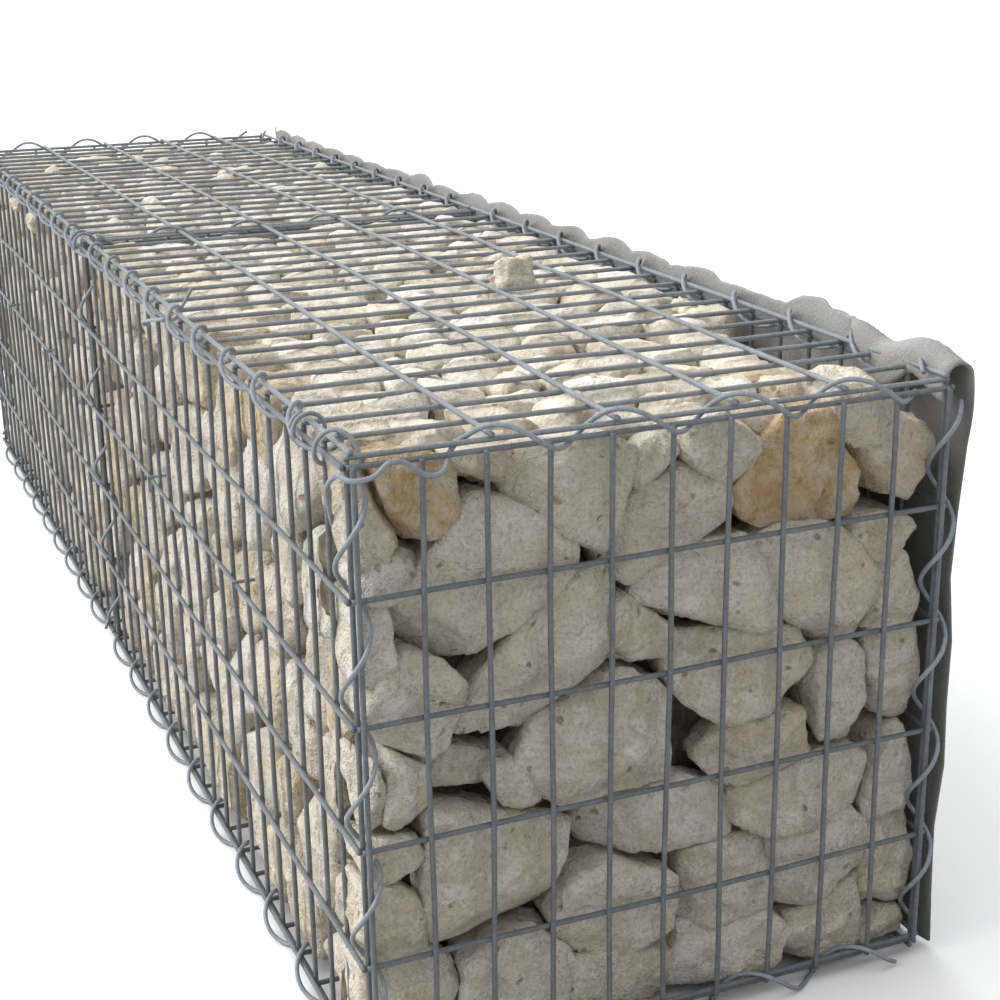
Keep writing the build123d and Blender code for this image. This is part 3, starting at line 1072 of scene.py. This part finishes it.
felt_rise = [(1.0 - upper_share) * j / lower_rows for j in range(lower_rows)]
felt_rise += [1.0 - upper_share + upper_share * j / upper_rows for j in range(upper_rows + 1)]
felt_points = [felt_point(i / felt_columns, t) for i in range(felt_columns + 1) for t in felt_rise]
felt_faces = []
for i in range(felt_columns):
    for j in range(felt_rows):
        a = i * (felt_rows + 1) + j
        felt_faces.append((a, a + felt_rows + 1, a + felt_rows + 2, a + 1))
felt = add_piece("felt_cloth", felt_points, felt_faces, needle_felt(felt_high.z), ["felt_sheet"])
thickness = felt.modifiers.new("thickness", "SOLIDIFY")
thickness.thickness = felt_thickness
thickness.offset = 0.0


# Floor, light and camera

floor_mesh = bpy.data.meshes.new("floor")
floor_mesh.from_pydata([(-40, -40, 0), (40, -40, 0), (40, 40, 0), (-40, 40, 0)], [], [(0, 1, 2, 3)])
floor = bpy.data.objects.new("floor", floor_mesh)
bpy.context.scene.collection.objects.link(floor)
floor_finish = Finish("pale_floor", Roughness=0.95, Specular_IOR_Level=0.1)
floor_shown, floor_lighting = rgb(0.96, 0.96, 0.96), rgb(0.42, 0.42, 0.41)
floor_tone = floor_finish.blend(floor_finish.backdrop_rays(), floor_lighting, floor_shown)
floor_mesh.materials.append(floor_finish.feed(Base_Color=floor_tone))
floor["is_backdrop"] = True

# The sky is palest overhead, with a soft glow low down beyond the far end
world = bpy.data.worlds.new("studio")
bpy.context.scene.world = world
world.cycles.sampling_method = "NONE"
studio = Bench(world)
sky_way = studio.node("ShaderNodeTexCoord", {}, {}, "Generated")
dim, zenith, glow = 0.20, 1.03, 3.4    # its least strength, and what is added overhead and in the glow


def towards(pole):
    """How nearly a way in the sky is the pole's."""
    sockets = {0: sky_way, 1: Vector(pole).normalized()}
    return studio.node("ShaderNodeVectorMath", {"operation": "DOT_PRODUCT"}, sockets, "Value")


overhead, beyond = towards((-0.15, -0.05, 1.0)), towards((-1.0, 0.0, 0.25))
light = dim + overhead.between(0.0, 1.0) * zenith + beyond.between(0.80, 0.93) * glow
sky = studio.node("ShaderNodeBackground", {}, {"Color": rgb(0.98, 0.99, 1.0), "Strength": light})
backdrop = studio.node("ShaderNodeBackground", {}, {"Color": rgb(1, 1, 1), "Strength": 1.0})
shown = studio.node("ShaderNodeMixShader", {}, {0: studio.backdrop_rays(), 1: sky, 2: backdrop})
world.node_tree.links.new(shown.socket, world.node_tree.nodes["World Output"].inputs["Surface"])

# The sun is broad, and comes from in front of the wall and beyond its far end
sun_way = Vector((0.30, 0.92, -0.66))
sun = bpy.data.lights.new("key_light", "SUN")
sun.angle = math.radians(55.0)
sun.energy = 2.5
sun.color = (1.0, 0.99, 0.975)
sun_object = bpy.data.objects.new("key_light", sun)
sun_object.rotation_mode = "QUATERNION"
sun_object.rotation_quaternion = sun_way.to_track_quat("-Z", "Y")
bpy.context.scene.collection.objects.link(sun_object)

# The camera's place and look were worked out from crossings of the wires in the photo
camera_place = Vector((2.1190, -0.6048, 0.8710))
azimuth, elevation, roll = (math.radians(angle) for angle in (157.25, -18.02, -0.88))
level = math.cos(elevation)
look = Vector((math.cos(azimuth) * level, math.sin(azimuth) * level, math.sin(elevation)))
lens_of_frame = 1.746
camera_data = bpy.data.cameras.new("photo_view")
camera_data.sensor_width = 36.0
camera_data.lens = camera_data.sensor_width * lens_of_frame
camera = bpy.data.objects.new("photo_view", camera_data)
camera.matrix_world = (
    Matrix.Translation(camera_place)
    @ look.to_track_quat("-Z", "Y").to_matrix().to_4x4()
    @ Matrix.Rotation(roll, 4, "Z")
)
bpy.context.scene.collection.objects.link(camera)
bpy.context.scene.camera = camera
bpy.context.scene.view_settings.view_transform = "Standard"

low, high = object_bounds()
